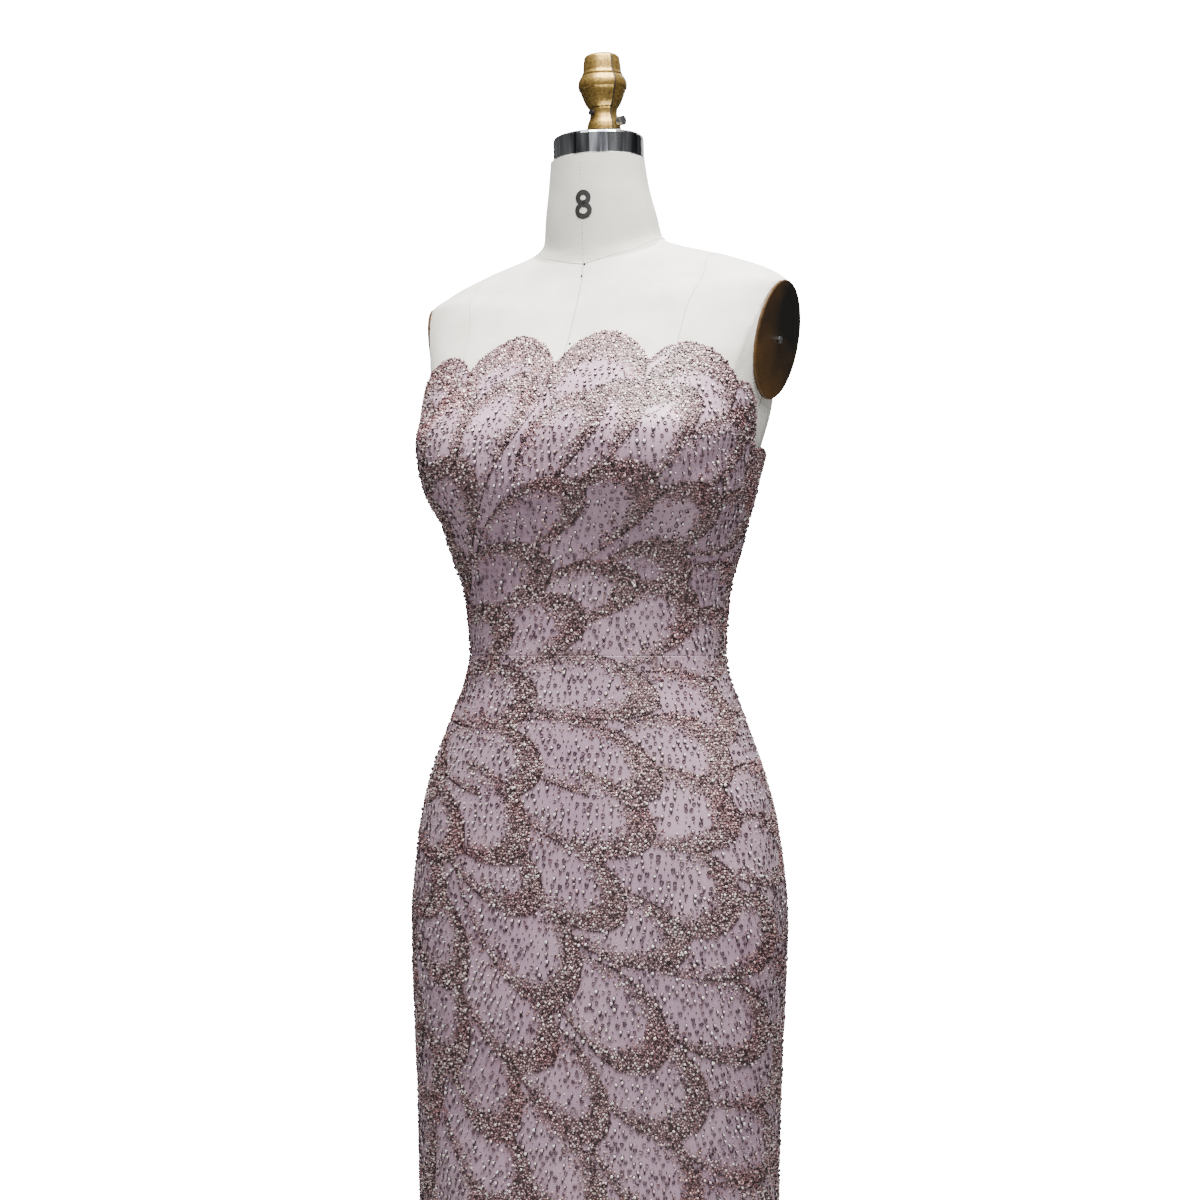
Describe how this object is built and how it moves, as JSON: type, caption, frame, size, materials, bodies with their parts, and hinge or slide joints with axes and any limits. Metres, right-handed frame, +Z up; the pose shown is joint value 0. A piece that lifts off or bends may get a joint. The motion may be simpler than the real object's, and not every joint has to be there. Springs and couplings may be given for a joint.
{
  "type": "mermaid evening gown on a dress form",
  "caption": "Strapless beaded mermaid evening gown, scalloped at the neck and fluted at the hem, on a limbless canvas dress form with a pole and a round base",
  "frame": {"origin": "the middle of the stand's base, on the floor", "axes": "+Z up the pole; -Y to the front of the gown; +X to the wearer's left"},
  "size_m": [0.753, 0.753, 1.6483],
  "materials": {
    "beaded_cloth": "satin covered with glass beads and pearls",
    "form_cover": "off-white cotton canvas",
    "plate_bronze": "dark bronze paint",
    "cap_steel": "polished",
    "finial_brass": "cast, gold paint",
    "screw_steel": "bright zinc",
    "stand_iron": "black enamel",
    "zip_metal": "enamel dyed to match the cloth"
  },
  "bodies": {
    "gown_and_form": {"bodice_front": "beaded_cloth", "bodice_back_left": "beaded_cloth", "bodice_back_right": "beaded_cloth", "skirt_front": "beaded_cloth", "skirt_back_left": "beaded_cloth", "skirt_back_right": "beaded_cloth", "zip_slider": "zip_metal", "form_torso": "form_cover", "arm_plate_left": "plate_bronze", "arm_plate_right": "plate_bronze", "arm_screw_left": "screw_steel", "arm_screw_right": "screw_steel", "neck_cap": "cap_steel", "neck_finial": "finial_brass", "finial_screw": "screw_steel", "finial_pin": "screw_steel", "stand_pole": "stand_iron", "stand_base": "stand_iron"},
    "zip_pull_tab": {"zip_pull": "zip_metal"}
  },
  "joints": [
    {"name": "zip_pull_swing", "type": "hinge", "parent": "gown_and_form", "child": "zip_pull_tab", "pos_m": [0, 0.10547, 1.2413], "axis": [1, 0, 0], "range_deg": [-4, 150]}
  ]
}
